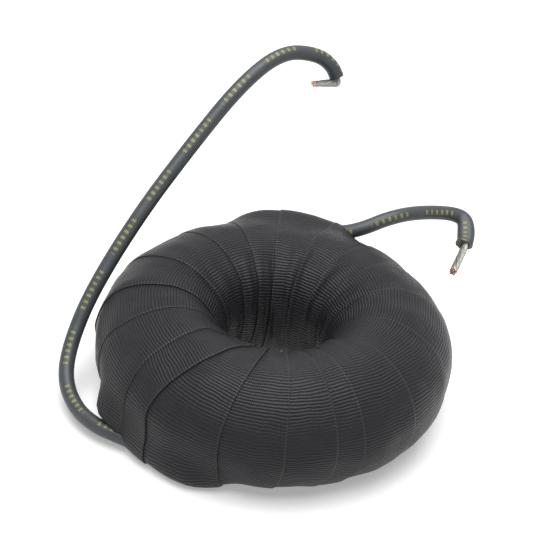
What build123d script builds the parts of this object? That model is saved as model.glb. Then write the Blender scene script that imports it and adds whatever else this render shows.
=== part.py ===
"""Toroidal choke: a powder core wound with enamelled wire and wrapped in woven tape, with two leads.

Origin on the ring's axis, in the plane that the ring rests on. +Z is up along the axis. Millimetres.
"""
import os
from math import cos, exp, pi, radians, sin, tan

from build123d import *

# The wrapped ring as a whole
ring_diameter = 80.0
hole_diameter = 22.8
ring_height = 28.2
seat_flat_depth = 0.5

# The core and the tape on it
core_width = 17.0
core_height = 17.0
core_corner_radius = 3.5
core_tape_thickness = 0.3

# The winding of enamelled wire
wire_diameter = 1.7
wire_turns = 36
first_turn_angle = 258.0
wound_angle = 330.0
winding_clearance = 0.05
return_tail_runs = 9
return_tail_lead_in = 6.0
return_tail_lead_out = 10.0
rim_groove_height = 2.2
rim_groove_depth = 3.5
last_turn_groove_height = 9.0

# The outer wrap of woven tape: the free edge of each turn, at the rim and at the lip of the hole
wrap_thickness = 1.2
rim_edge_angles = [12, 34, 52, 72, 92, 113, 135, 158, 180, 200, 222, 232, 257, 277, 293, 302, 322, 345]
lip_edge_angles = [20, 40, 58, 78, 98, 112, 128, 160, 186, 206, 228, 260, 269, 280, 289, 298, 325, 352]
tape_edge_step = 0.5
tape_step_variation = 0.35
tape_gather_height = 0.6
wrap_unevenness = 0.2
section_steps = 18
lines_per_turn = 4

# The wrap's swelling over the splices and the leads under it
swelling_height = 3.8
swelling_spread = 5.0

# The stranded leads, their splices and the ways for them through the wrap
jacket_diameter = 3.45
conductor_diameter = 1.85
jacket_clearance = 0.05
passage_clearance = 0.1
lead_way_points = 4
channel_depth = 8.0
tail_clearance = 0.4
lead_bend_share = 0.45
splice_diameter = 3.3
splice_length = 7.0
sleeve_wall = 0.4
sleeve_overlap = 2.5
sleeve_tail_length = 2.0

# The splices lie along chords of the ring under the outer wrap, clear of the core by these distances
splice_1_jacket_angle = 225.0
splice_1_jacket_clear = 2.795827
splice_1_wire_angle = 245.581669
splice_1_wire_clear = 2.810539
splice_1_drop = 2.2
splice_2_half_length = 6.5
splice_2_clear = 2.8
splice_2_rise = 0.7
lead_first_run = 5.0

# Each lead's route on from its splice to the end of its jacket, and then its bare strands
strand_lead_in = 0.8
strand_bend_radius = 1.1
lead_1_points = [
    (-35.2, -21.6, 2.5),
    (-40.3, -18.3, 3.0),
    (-45.2, -10.8, 5.7),
    (-45.0, -3.1, 11.1),
    (-41.5, 4.8, 20.2),
    (-33.2, 16.1, 34.0),
    (-23.5, 27.8, 46.5),
    (-14.0, 38.5, 57.7),
    (-5.6, 47.7, 62.6),
    (3.3, 53.3, 60.1),
    (8.8, 53.3, 54.2),
]
lead_1_strands = [(9.3, 52.0, 52.7), (2.2, 48.4, 54.4)]
lead_2_points = [
    (19.5, 36.6, 25.6),
    (26.5, 39.3, 27.6),
    (33.6, 44.7, 26.1),
    (39.9, 48.3, 23.8),
    (43.5, 46.5, 23.0),
    (43.2, 39.7, 20.4),
]
lead_2_strands = [(40.5, 31.6, 17.8)]

# Values that follow from the sizes above
ring_radius = (ring_diameter + hole_diameter) / 4
wrap_half_width = (ring_diameter - hole_diameter) / 4 - tape_edge_step / 2
wrap_half_height = ring_height / 2 - tape_edge_step / 2
ring_level = ring_height / 2 - seat_flat_depth
padding_half_width = wrap_half_width - wrap_thickness
padding_half_height = wrap_half_height - wrap_thickness
wire_offset = core_tape_thickness + winding_clearance + wire_diameter / 2
wound_half_width = core_width / 2 + wire_offset
wound_half_height = core_height / 2 + wire_offset
wound_corner_radius = core_corner_radius + wire_offset
envelope_offset = wire_offset + wire_diameter / 2 + winding_clearance
sleeve_diameter = jacket_diameter + 2 * sleeve_wall


def ring_point(angle, radius, level):
    """A point by its angle round the ring's axis, its distance from the axis and its height."""
    return Vector(radius * cos(radians(angle)), radius * sin(radians(angle)), level)


def between(start, end, share):
    """The point that lies at a share of the way from start to end."""
    return start + (end - start) * share


def rounded_ring(offset):
    """The core's form grown by an offset: a rounded rectangle revolved about the ring's axis."""
    with BuildPart() as ring:
        with BuildSketch(Plane.XZ):
            with Locations((ring_radius, ring_level)):
                RectangleRounded(core_width + 2 * offset, core_height + 2 * offset, core_corner_radius + offset)
        revolve(axis=Axis.Z)
    return ring.part


def oval_ring(half_width, half_height):
    """An ellipse revolved about the ring's axis."""
    with BuildPart() as ring:
        with BuildSketch(Plane.XZ):
            with Locations((ring_radius, ring_level)):
                Ellipse(half_width, half_height)
        revolve(axis=Axis.Z)
    return ring.part


def corner_radii(points, largest=1000.0):
    """The radius at each corner of a route, as large as its two runs allow, up to a largest one."""
    radii = []
    for before, corner, after in zip(points, points[1:], points[2:]):
        run_in = Vector(*corner) - Vector(*before)
        run_out = Vector(*after) - Vector(*corner)
        half_turn = radians(run_in.get_angle(run_out)) / 2
        widest = lead_bend_share * min(run_in.length, run_out.length) / tan(half_turn)
        radii.append(min(widest, largest))
    return radii


def round_bar(points, radii, diameter, bore=0.0):
    """A round bar or tube along straight runs joined by tangent arcs."""
    with BuildPart() as bar:
        with BuildLine() as path:
            FilletPolyline(*points, radius=radii)
        with BuildSketch(Plane(origin=path.line @ 0, z_dir=path.line % 0)):
            Circle(diameter / 2)
            if bore > 0:
                Circle(bore / 2, mode=Mode.SUBTRACT)
        sweep()
    return bar.part


# The ends of the splices
splice_1_level = ring_level - core_height / 2 - splice_1_drop
splice_2_level = ring_level + core_height / 2 + splice_2_rise
core_reach = ring_radius + core_width / 2
splice_1_jacket_end = ring_point(splice_1_jacket_angle, core_reach + splice_1_jacket_clear, splice_1_level)
splice_1_wire_end = ring_point(splice_1_wire_angle, core_reach + splice_1_wire_clear, splice_1_level)
splice_2_jacket_end = Vector(splice_2_half_length, core_reach + splice_2_clear, splice_2_level)
splice_2_wire_end = Vector(-splice_2_half_length, core_reach + splice_2_clear, splice_2_level)

# Core: a pressed ring of iron powder with rounded edges
core_form = rounded_ring(0)
with BuildPart() as core:
    add(core_form)

# Core tape: the insulation between the core and the wire
with BuildPart() as core_tape:
    add(rounded_ring(core_tape_thickness))
    add(core_form, mode=Mode.SUBTRACT)


def winding_corners():
    """The wire's corners, four to a turn, from the outer bottom corner of its first turn."""
    inner = ring_radius - wound_half_width
    outer = ring_radius + wound_half_width
    bottom = ring_level - wound_half_height
    top = ring_level + wound_half_height
    advance = wound_angle / wire_turns
    corners = []
    for turn in range(wire_turns):
        angle = first_turn_angle + turn * advance
        corners.append(ring_point(angle, outer, bottom))
        corners.append(ring_point(angle + advance / 2, inner, bottom))
        corners.append(ring_point(angle + advance / 2, inner, top))
        corners.append(ring_point(angle + advance, outer, top))
    return corners


def degrees_round_axis(point):
    """The angle of a point round the ring's axis, in degrees."""
    return Vector(1, 0, 0).get_signed_angle(Vector(point.X, point.Y, 0), Vector(0, 0, 1)) % 360


# The wire's way back lies along the rim, from its last turn to its climb to the second splice
rim_tail_radius = ring_radius + wound_half_width + wire_diameter + 2 * winding_clearance
last_turn_angle = first_turn_angle + wound_angle - 360
rim_tail_start = last_turn_angle - return_tail_lead_in
rim_tail_end = degrees_round_axis(splice_2_wire_end) + return_tail_lead_out


def return_tail():
    """The wire's way back along the rim, from the last turn to the middle of the second splice."""
    points = []
    for run in range(return_tail_runs + 1):
        angle = rim_tail_start + (rim_tail_end - rim_tail_start) * run / return_tail_runs
        points.append(ring_point(angle, rim_tail_radius, ring_level))
    return points + [splice_2_wire_end, between(splice_2_wire_end, splice_2_jacket_end, 0.5)]


# Winding: one length of enamelled copper wire, from the first splice to the second
turn_corners = winding_corners()
first_tail_route = [between(splice_1_wire_end, splice_1_jacket_end, 0.5), splice_1_wire_end]
winding_route = first_tail_route + turn_corners + return_tail()
with BuildPart() as winding:
    add(round_bar(winding_route, corner_radii(winding_route, wound_corner_radius), wire_diameter))


def splice_pieces(wire_end, jacket_end):
    """A splice's soldered barrel round both conductors, and the sleeve shrunk over it."""
    middle = between(wire_end, jacket_end, 0.5)
    towards_jacket = towards(wire_end, jacket_end)
    with BuildPart() as barrel:
        with BuildSketch(Plane(origin=middle, z_dir=towards_jacket)):
            Circle(splice_diameter / 2)
            Circle(conductor_diameter / 2, mode=Mode.SUBTRACT)
        extrude(amount=splice_length / 2)
        with BuildSketch(Plane(origin=middle, z_dir=-towards_jacket)):
            Circle(splice_diameter / 2)
            Circle(wire_diameter / 2, mode=Mode.SUBTRACT)
        extrude(amount=splice_length / 2)
    tail_reach = splice_length / 2 + sleeve_tail_length
    jacket_reach = (jacket_end - middle).length + sleeve_overlap
    with BuildPart() as sleeve:
        with BuildSketch(Plane(origin=middle - towards_jacket * tail_reach, z_dir=towards_jacket)):
            Circle(sleeve_diameter / 2)
            Circle(jacket_diameter / 2, mode=Mode.SUBTRACT)
        extrude(amount=tail_reach + jacket_reach)
    return barrel.part, sleeve.part


def towards(start, end):
    """The direction from one point to another."""
    return (end - start).normalized()


def lead_route(wire_end, jacket_end, points):
    """A jacket's route: straight out of its splice, then by its own points."""
    first = jacket_end + towards(wire_end, jacket_end) * lead_first_run
    return [jacket_end, first] + [Vector(*point) for point in points]


def lead_pieces(wire_end, route, strands):
    """A lead's jacket and the stranded conductor through it, bare at both ends."""
    jacket_radii = corner_radii(route)
    jacket = round_bar(route, jacket_radii, jacket_diameter, conductor_diameter + 2 * jacket_clearance)
    bare_start = route[-1] + towards(route[-2], route[-1]) * strand_lead_in
    conductor_route = [between(wire_end, route[0], 0.5)] + route[1:-1] + [bare_start] + strands
    conductor_radii = jacket_radii + [strand_bend_radius] * len(strands)
    return jacket, round_bar(conductor_route, conductor_radii, conductor_diameter)


def channel(start, end, diameter):
    """A straight way along a run, round on its outside and open towards the core."""
    middle = between(start, end, 0.5)
    direction = towards(start, end)
    inward = ring_point(degrees_round_axis(middle), ring_radius, ring_level) - middle
    inward = inward - direction * inward.dot(direction)
    with BuildPart() as way:
        with BuildSketch(Plane(origin=start, x_dir=inward, z_dir=direction)):
            Circle(diameter / 2)
            Rectangle(channel_depth, diameter, align=(Align.MIN, Align.CENTER))
        extrude(amount=(end - start).length)
    return way.part


def sleeve_channel(wire_end, jacket_end):
    """The way for a splice in its sleeve."""
    start = wire_end
    end = jacket_end + towards(wire_end, jacket_end) * (sleeve_overlap + passage_clearance)
    return channel(start, end, sleeve_diameter + 2 * passage_clearance)


def lead_way(route):
    """The way by which a lead comes out from under the tape."""
    radii = corner_radii(route)[:lead_way_points - 2]
    return round_bar(route[:lead_way_points], radii, jacket_diameter + 2 * passage_clearance)


def rim_groove(start_angle, end_angle, height):
    """A groove along the rim for the wire's way back, open towards the core."""
    outer = rim_tail_radius + wire_diameter / 2 + passage_clearance
    bottom = ring_level - rim_groove_height / 2
    across = ring_point(start_angle, 1, 0)
    with BuildPart() as groove:
        with BuildSketch(Plane(origin=(0, 0, 0), x_dir=across, z_dir=across.cross(Vector(0, 0, 1)))):
            with Locations((outer, bottom)):
                Rectangle(rim_groove_depth, height, align=(Align.MAX, Align.MIN))
        revolve(axis=Axis.Z, revolution_arc=end_angle - start_angle)
    return groove.part


def edge_angle(turn, section_angle):
    """The angle round the ring of a turn's free edge, where it has come to a section angle.

    The section angle runs from -90 under the ring, by 0 at the rim, 90 on top and 180 at the lip, to 270.
    """
    turns = len(rim_edge_angles)

    def whole(angles, index):
        return angles[index % turns] + 360 * (index // turns)

    def underside(index):
        return (whole(lip_edge_angles, index - 1) + whole(rim_edge_angles, index)) / 2

    stations = [
        (-90, underside(turn)),
        (0, whole(rim_edge_angles, turn)),
        (180, whole(lip_edge_angles, turn)),
        (270, underside(turn + 1)),
    ]
    for (start, start_angle), (end, end_angle) in zip(stations, stations[1:]):
        if section_angle <= end:
            ease = (1 - cos(pi * (section_angle - start) / (end - start))) / 2
            return start_angle + (end_angle - start_angle) * ease
    return stations[-1][1]


def edge_step(turn, section_angle):
    """How far a turn's free edge stands above the turn beside it, along the tape's whole length."""
    wound = (turn + (section_angle + 90) / 360) / len(rim_edge_angles)
    return tape_edge_step * (1 + tape_step_variation * sin(2 * pi * 7 * wound))


def swelling(point, covered):
    """How far the wrap is lifted at a point by the lead or splice that lies under it."""
    nearest = min(distance_to_run(point, start, end) for start, end in zip(covered, covered[1:]))
    return swelling_height * exp(-((nearest / swelling_spread) ** 2))


def distance_to_run(point, start, end):
    """The distance from a point to the straight run between two others."""
    run = end - start
    share = (point - start).dot(run) / run.dot(run)
    return (point - between(start, end, min(1, max(0, share)))).length


lead_1_route = lead_route(splice_1_wire_end, splice_1_jacket_end, lead_1_points)
lead_2_route = lead_route(splice_2_wire_end, splice_2_jacket_end, lead_2_points)
covered_by_wrap = [[splice_1_wire_end] + lead_1_route[:2], [splice_2_wire_end] + lead_2_route[:2]]


def wrap_point(angle, section_angle, lift):
    """A point on the wrap's surface, lifted off the oval section by the tape and what is under it."""
    unevenness = wrap_unevenness * (
        sin(radians(5 * angle + 60)) * cos(radians(section_angle))
        + sin(radians(9 * angle - 2 * section_angle))
    ) / 2
    base = section_point(angle, section_angle, 0)
    lead_lift = sum(swelling(base, covered) for covered in covered_by_wrap)
    return section_point(angle, section_angle, lift + unevenness + lead_lift)


def section_point(angle, section_angle, lift):
    """A point at a lift off the oval section of the wrap."""
    along = cos(radians(section_angle))
    up = sin(radians(section_angle))
    return ring_point(
        angle,
        ring_radius + (wrap_half_width + lift) * along,
        ring_level + (wrap_half_height + lift) * up,
    )


def turn_line(turn, share):
    """A line along one turn of tape, at a share of the way from its own edge's foot to the next edge."""
    points = []
    for step in range(section_steps + 1):
        section_angle = -90 + 360 * step / section_steps
        angle = between(edge_angle(turn, section_angle), edge_angle(turn + 1, section_angle), share)
        gather = tape_gather_height * max(0, -cos(radians(section_angle))) * sin(pi * share)
        lift = share * edge_step(turn + 1, section_angle) + gather
        points.append(wrap_point(angle, section_angle, lift))
    with BuildLine() as line:
        Spline(*points)
    return line.edges()[0]


def taped_form():
    """The lapped turns of tape as one closed form: each turn climbs to its edge and steps down."""
    shares = [line / lines_per_turn for line in range(lines_per_turn + 1)]
    faces = []
    turns = [[turn_line(turn, share) for share in shares] for turn in range(len(rim_edge_angles))]
    for lines, next_lines in zip(turns, turns[1:] + turns[:1]):
        for line, next_line in zip(lines, lines[1:]):
            faces.append(Face.make_surface_from_curves(line, next_line))
        faces.append(Face.make_surface_from_curves(lines[-1], next_lines[0]))
    return Solid(Shell(faces))


# Splices and leads: each jacket starts inside its splice's sleeve and comes out from under the tape
splice_1_barrel, splice_1_tube = splice_pieces(splice_1_wire_end, splice_1_jacket_end)
with BuildPart() as splice_1:
    add(splice_1_barrel)
with BuildPart() as splice_sleeve_1:
    add(splice_1_tube)

splice_2_barrel, splice_2_tube = splice_pieces(splice_2_wire_end, splice_2_jacket_end)
with BuildPart() as splice_2:
    add(splice_2_barrel)
with BuildPart() as splice_sleeve_2:
    add(splice_2_tube)

jacket_1, conductor_1 = lead_pieces(splice_1_wire_end, lead_1_route, lead_1_strands)
with BuildPart() as lead_1_jacket:
    add(jacket_1)
with BuildPart() as lead_1_conductor:
    add(conductor_1)

jacket_2, conductor_2 = lead_pieces(splice_2_wire_end, lead_2_route, lead_2_strands)
with BuildPart() as lead_2_jacket:
    add(jacket_2)
with BuildPart() as lead_2_conductor:
    add(conductor_2)

# The ways for the splices, the leads and the wire's tails through the two layers of wrap
tail_channel_diameter = wire_diameter + 2 * tail_clearance
sleeve_channels = [
    sleeve_channel(splice_1_wire_end, splice_1_jacket_end),
    sleeve_channel(splice_2_wire_end, splice_2_jacket_end),
]
tail_channels = [
    channel(splice_1_wire_end, turn_corners[0], tail_channel_diameter),
    channel(return_tail()[-3], splice_2_wire_end, tail_channel_diameter),
]
rim_grooves = [
    rim_groove(rim_tail_end - 2, rim_tail_start, rim_groove_height),
    rim_groove(rim_tail_start - 2, last_turn_angle + 2, last_turn_groove_height),
]

# Inner wrap: the layers of tape over the wire, which round off the ring's section
with BuildPart() as inner_wrap:
    add(oval_ring(padding_half_width, padding_half_height))
    add(rounded_ring(envelope_offset), mode=Mode.SUBTRACT)
    for way in sleeve_channels + tail_channels + rim_grooves:
        add(way, mode=Mode.SUBTRACT)

# Outer wrap: woven tape lapped round the ring, turn after turn, flattened where it stands
with BuildPart() as outer_wrap:
    add(taped_form())
    add(oval_ring(padding_half_width, padding_half_height), mode=Mode.SUBTRACT)
    for way in sleeve_channels + tail_channels + [lead_way(lead_1_route), lead_way(lead_2_route)]:
        add(way, mode=Mode.SUBTRACT)
    split(bisect_by=Plane.XY, keep=Keep.TOP)

pieces = {
    "core": core,
    "core_tape": core_tape,
    "winding": winding,
    "inner_wrap": inner_wrap,
    "splice_1": splice_1,
    "splice_2": splice_2,
    "splice_sleeve_1": splice_sleeve_1,
    "splice_sleeve_2": splice_sleeve_2,
    "lead_1_jacket": lead_1_jacket,
    "lead_1_conductor": lead_1_conductor,
    "lead_2_jacket": lead_2_jacket,
    "lead_2_conductor": lead_2_conductor,
    "outer_wrap": outer_wrap,
}
os.makedirs("parts", exist_ok=True)
for name, piece in pieces.items():
    piece.part.label = name
    export_step(piece.part, f"parts/{name}.step")

# The leads' bends and lengths, to compare with the real wire
jacket_section = pi * (jacket_diameter ** 2 - (conductor_diameter + 2 * jacket_clearance) ** 2) / 4
for name, route, jacket in (("lead 1", lead_1_route, jacket_1), ("lead 2", lead_2_route, jacket_2)):
    print(name, "bend radii", [round(radius, 1) for radius in corner_radii(route)])
    print(name, "jacket length", round(jacket.volume / jacket_section, 1))
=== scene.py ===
"""A toroidal inductor: a wound iron powder core wrapped in black woven tape, with two stranded leads."""
import math
import random

import bpy
import numpy as np
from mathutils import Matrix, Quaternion, Vector


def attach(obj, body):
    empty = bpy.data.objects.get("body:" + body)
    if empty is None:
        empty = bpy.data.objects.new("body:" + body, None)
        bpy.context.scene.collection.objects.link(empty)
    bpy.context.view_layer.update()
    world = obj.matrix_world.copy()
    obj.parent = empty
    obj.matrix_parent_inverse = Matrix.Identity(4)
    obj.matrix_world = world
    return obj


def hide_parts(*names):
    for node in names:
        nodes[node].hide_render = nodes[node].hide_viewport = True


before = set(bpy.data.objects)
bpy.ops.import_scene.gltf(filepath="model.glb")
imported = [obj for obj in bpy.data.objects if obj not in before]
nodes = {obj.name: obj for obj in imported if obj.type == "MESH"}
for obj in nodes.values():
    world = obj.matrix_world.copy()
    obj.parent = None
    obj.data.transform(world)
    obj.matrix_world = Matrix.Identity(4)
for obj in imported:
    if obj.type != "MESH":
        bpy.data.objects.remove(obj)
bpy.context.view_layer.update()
MM = 0.001


# Core
# A ring pressed from iron powder and a binder, with rounded edges. The pressing leaves a dull,
# finely grained grey surface, speckled where single grains catch the light.


def linear(colour):
    """An sRGB hex colour as linear red, green, blue and a full alpha."""
    parts = [int(colour[i:i + 2], 16) / 255 for i in (1, 3, 5)]
    return [c / 12.92 if c <= 0.04045 else ((c + 0.055) / 1.055) ** 2.4 for c in parts] + [1.0]


def add_node(tree, kind, inputs=None, **settings):
    """Adds a node with its settings, and gives each input its value or the output that feeds it."""
    node = tree.nodes.new(kind)
    for name, value in settings.items():
        setattr(node, name, value)
    for name, value in (inputs or {}).items():
        if isinstance(value, bpy.types.NodeSocket):
            tree.links.new(value, node.inputs[name])
        else:
            node.inputs[name].default_value = value
    return node


def new_material(name, **finish):
    """A material with its Principled shader, whose constant sockets are set by name."""
    material = bpy.data.materials.new(name)
    material.use_nodes = True
    shader = material.node_tree.nodes["Principled BSDF"]
    for socket, value in finish.items():
        shader.inputs[socket.replace("_", " ")].default_value = value
    return material, material.node_tree, shader


def coat(node_name, material):
    """Gives a CAD node its material."""
    data = nodes[node_name].data
    data.materials.clear()
    data.materials.append(material)


pressed_iron, tree, shader = new_material("pressed_iron_powder", Metallic=0.6, Roughness=0.62)
place = add_node(tree, "ShaderNodeTexCoord")
grains = add_node(tree, "ShaderNodeTexVoronoi", {"Vector": place.outputs["Object"], "Scale": 1 / (0.15 * MM)})
grain_shade = add_node(tree, "ShaderNodeMix", {
    0: grains.outputs["Color"], 6: linear("#3a3836"), 7: linear("#77736e")}, data_type="RGBA")
tree.links.new(grain_shade.outputs[2], shader.inputs["Base Color"])
grain_bump = add_node(tree, "ShaderNodeBump", {
    "Height": grains.outputs["Distance"], "Distance": 0.03 * MM, "Strength": 0.6})
tree.links.new(grain_bump.outputs["Normal"], shader.inputs["Normal"])
coat("core", pressed_iron)


# Core tape
# Polyester film tape wound round the core, so that the wire's enamel isn't cut by the powder.
# It is smooth, amber and a little wrinkled.
film_tape, tree, shader = new_material("amber_polyester_tape", Roughness=0.28)
place = add_node(tree, "ShaderNodeTexCoord")
wrinkles = add_node(tree, "ShaderNodeTexNoise", {
    "Vector": place.outputs["Object"], "Scale": 1 / (4 * MM), "Detail": 3.0})
film_shade = add_node(tree, "ShaderNodeMix", {
    0: wrinkles.outputs["Fac"], 6: linear("#a8772a"), 7: linear("#d29a3c")}, data_type="RGBA")
tree.links.new(film_shade.outputs[2], shader.inputs["Base Color"])
wrinkle_bump = add_node(tree, "ShaderNodeBump", {"Height": wrinkles.outputs["Fac"], "Distance": 0.2 * MM})
tree.links.new(wrinkle_bump.outputs["Normal"], shader.inputs["Normal"])
coat("core_tape", film_tape)


# Winding
# Drawn copper wire under a baked polyurethane enamel: a clear glossy coat over the metal, with
# darker runs where the enamel is thicker.
enamelled_copper, tree, shader = new_material(
    "enamelled_copper_wire", Metallic=1.0, Roughness=0.3, Coat_Weight=0.8, Coat_Roughness=0.08)
place = add_node(tree, "ShaderNodeTexCoord")
runs = add_node(tree, "ShaderNodeTexNoise", {"Vector": place.outputs["Object"], "Scale": 1 / (3 * MM)})
enamel_shade = add_node(tree, "ShaderNodeMix", {
    0: runs.outputs["Fac"], 6: linear("#8a4520"), 7: linear("#c2743c")}, data_type="RGBA")
tree.links.new(enamel_shade.outputs[2], shader.inputs["Base Color"])
coat("winding", enamelled_copper)


# Splices and their sleeves
# Each lead is soldered to the wire in a tinned barrel, under a sleeve of shrunk polyolefin.
# The solder is bright with dull frosting, and the sleeve is a matte black tube.
solder, tree, shader = new_material("soldered_tin", Metallic=1.0)
place = add_node(tree, "ShaderNodeTexCoord")
frosting = add_node(tree, "ShaderNodeTexNoise", {"Vector": place.outputs["Object"], "Scale": 1 / (0.6 * MM)})
frost_roughness = add_node(tree, "ShaderNodeMapRange", {
    "Value": frosting.outputs["Fac"], "To Min": 0.2, "To Max": 0.55})
tree.links.new(frost_roughness.outputs["Result"], shader.inputs["Roughness"])
frost_shade = add_node(tree, "ShaderNodeMix", {
    0: frosting.outputs["Fac"], 6: linear("#8d9093"), 7: linear("#c4c6c8")}, data_type="RGBA")
tree.links.new(frost_shade.outputs[2], shader.inputs["Base Color"])
shrunk_sleeve, tree, shader = new_material("shrunk_polyolefin_sleeve", Roughness=0.55)
place = add_node(tree, "ShaderNodeTexCoord")
scuffs = add_node(tree, "ShaderNodeTexNoise", {"Vector": place.outputs["Object"], "Scale": 1 / (1.5 * MM)})
sleeve_shade = add_node(tree, "ShaderNodeMix", {
    0: scuffs.outputs["Fac"], 6: linear("#151515"), 7: linear("#2b2b2c")}, data_type="RGBA")
tree.links.new(sleeve_shade.outputs[2], shader.inputs["Base Color"])
for number in (1, 2):
    coat(f"splice_{number}", solder)
    coat(f"splice_sleeve_{number}", shrunk_sleeve)


# Inner wrap
# The layers of tape over the wire, which fill its corners and round the ring off. They are the
# same black cotton tape as the outer turns, and all of them lie under those.
cotton_padding, tree, shader = new_material("black_cotton_padding", Roughness=0.85)
place = add_node(tree, "ShaderNodeTexCoord")
weave = add_node(tree, "ShaderNodeTexNoise", {"Vector": place.outputs["Object"], "Scale": 1 / (0.5 * MM)})
padding_shade = add_node(tree, "ShaderNodeMix", {
    0: weave.outputs["Fac"], 6: linear("#121214"), 7: linear("#2c2c30")}, data_type="RGBA")
tree.links.new(padding_shade.outputs[2], shader.inputs["Base Color"])
coat("inner_wrap", cotton_padding)


# Lead jackets
# Two leads of soft grey PVC, extruded over the stranded conductor, with a satin skin. Each comes
# out from under the tape and ends in a torn cut, and lead 2 is kinked just before its end.
JACKET_RADIUS = 1.725 * MM
BORE_RADIUS = 0.975 * MM
JACKET_ROW = 0.4 * MM
JACKET_SIDES = 40
TORN_ROWS = 10
LEAD_1_ROUTE = [
    (-26.16, -26.16, 2.9), (-31.0, -24.6, 3.5), (-36.0, -22.7, 3.7), (-41.3, -17.6, 3.7),
    (-45.1, -10.4, 5.9), (-44.9, -3.1, 11.1), (-41.5, 4.8, 20.2), (-33.2, 16.1, 34.0),
    (-23.5, 27.8, 46.5), (-14.0, 38.5, 57.7), (-5.6, 47.7, 62.6), (2.5, 53.0, 60.5),
    (6.9, 53.3, 57.5), (7.9, 53.3, 54.6),
]
LEAD_2_ROUTE = [
    (6.5, 37.0, 22.8), (11.0, 36.0, 22.2), (17.0, 35.4, 24.1), (24.5, 38.2, 27.2),
    (32.0, 43.8, 26.2), (41.0, 48.3, 24.2), (44.0, 46.0, 23.0), (43.2, 39.6, 20.3),
]


def smooth_line(route):
    """Points in metres along the NURBS line that has a route's points as its control points."""
    curve = bpy.data.curves.new("route", "CURVE")
    curve.dimensions = "3D"
    curve.resolution_u = 24
    spline = curve.splines.new("NURBS")
    spline.points.add(len(route) - 1)
    for point, place_mm in zip(spline.points, route):
        point.co = (*(c * MM for c in place_mm), 1.0)
    spline.order_u = 3
    spline.use_endpoint_u = True
    line = bpy.data.objects.new("route", curve)
    bpy.context.scene.collection.objects.link(line)
    mesh = bpy.data.meshes.new_from_object(line)
    points = np.array([v.co for v in mesh.vertices])
    bpy.data.objects.remove(line)
    bpy.data.curves.remove(curve)
    bpy.data.meshes.remove(mesh)
    return points


def even_rows(points, spacing):
    """The same line with its points at an even spacing, and each point's distance along it."""
    runs = np.linalg.norm(np.diff(points, axis=0), axis=1)
    along = np.concatenate([[0.0], np.cumsum(runs)])
    stations = np.linspace(0.0, along[-1], max(8, round(along[-1] / spacing)) + 1)
    rows = np.stack([np.interp(stations, along, points[:, axis]) for axis in range(3)], axis=1)
    return rows, stations


def carried_frames(rows, first_side):
    """The tangent and two sides at each row, carried along the line without twist."""
    tangents = np.gradient(rows, axis=0)
    tangents /= np.linalg.norm(tangents, axis=1)[:, None]
    side = np.array(first_side, float)
    sides = []
    for tangent in tangents:
        side = side - tangent * side.dot(tangent)
        side = side / np.linalg.norm(side)
        sides.append(side)
    sides = np.array(sides)
    return tangents, sides, np.cross(tangents, sides)


def jacket_tube(name, route, first_side, torn_depth, squeeze, flare):
    """A jacket as one closed tube wall. Returns its object and the line that it follows.

    torn_depth, squeeze and flare are functions of the angle round the tube, in radians, or of it and
    the distance in mm from the end: how far the cut is torn back, the skin's radius as a share of the
    round one, and how far the last rows are bent outwards.
    """
    line = smooth_line(route)
    rows, stations = even_rows(line, JACKET_ROW)
    tangents, sides, lifts = carried_frames(rows, first_side)
    length = stations[-1]
    turns = np.arange(JACKET_SIDES) * 2 * math.pi / JACKET_SIDES
    vertices, uvs = [], []
    for wall_radius in (JACKET_RADIUS, BORE_RADIUS):
        for row, station, tangent, side, lift in zip(rows, stations, tangents, sides, lifts):
            from_end = (length - station) / MM
            share = max(0.0, 1 - from_end / (TORN_ROWS * JACKET_ROW / MM))
            for angle in turns:
                radius = wall_radius * squeeze(angle, from_end)
                if wall_radius == JACKET_RADIUS:
                    radius += flare(angle, from_end) * MM
                direction = side * math.cos(angle) + lift * math.sin(angle)
                vertices.append(row + direction * radius - tangent * torn_depth(angle) * MM * share)
                uvs.append((station / MM, angle * JACKET_RADIUS / MM))
    row_count = len(rows)
    wall = row_count * JACKET_SIDES
    faces, face_uvs, torn = [], [], []
    around = 2 * math.pi * JACKET_RADIUS / MM

    def quad(corners, last_side, is_torn):
        faces.append(corners)
        torn.append(is_torn)
        for corner in corners:
            u, v = uvs[corner]
            face_uvs.append((u, v + around if last_side and v == 0 else v))

    for row in range(row_count - 1):
        for i in range(JACKET_SIDES):
            j = (i + 1) % JACKET_SIDES
            a, b = row * JACKET_SIDES + i, row * JACKET_SIDES + j
            c, d = b + JACKET_SIDES, a + JACKET_SIDES
            quad((a, b, c, d), j == 0, False)
            quad((wall + a, wall + d, wall + c, wall + b), j == 0, False)
    for i in range(JACKET_SIDES):
        j = (i + 1) % JACKET_SIDES
        quad((i, wall + i, wall + j, j), j == 0, False)
        end = (row_count - 1) * JACKET_SIDES
        quad((end + i, end + j, wall + end + j, wall + end + i), j == 0, True)
    mesh = bpy.data.meshes.new(name)
    mesh.from_pydata([tuple(v) for v in vertices], [], faces)
    layer = mesh.uv_layers.new(name="jacket_mm")
    layer.data.foreach_set("uv", np.array(face_uvs, np.float32).ravel())
    mesh.polygons.foreach_set("material_index", np.array(torn, np.int32))
    mesh.polygons.foreach_set("use_smooth", [True] * len(faces))
    mesh.set_sharp_from_angle(angle=math.radians(50))
    jacket = bpy.data.objects.new(name, mesh)
    bpy.context.scene.collection.objects.link(jacket)
    return jacket, line


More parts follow.
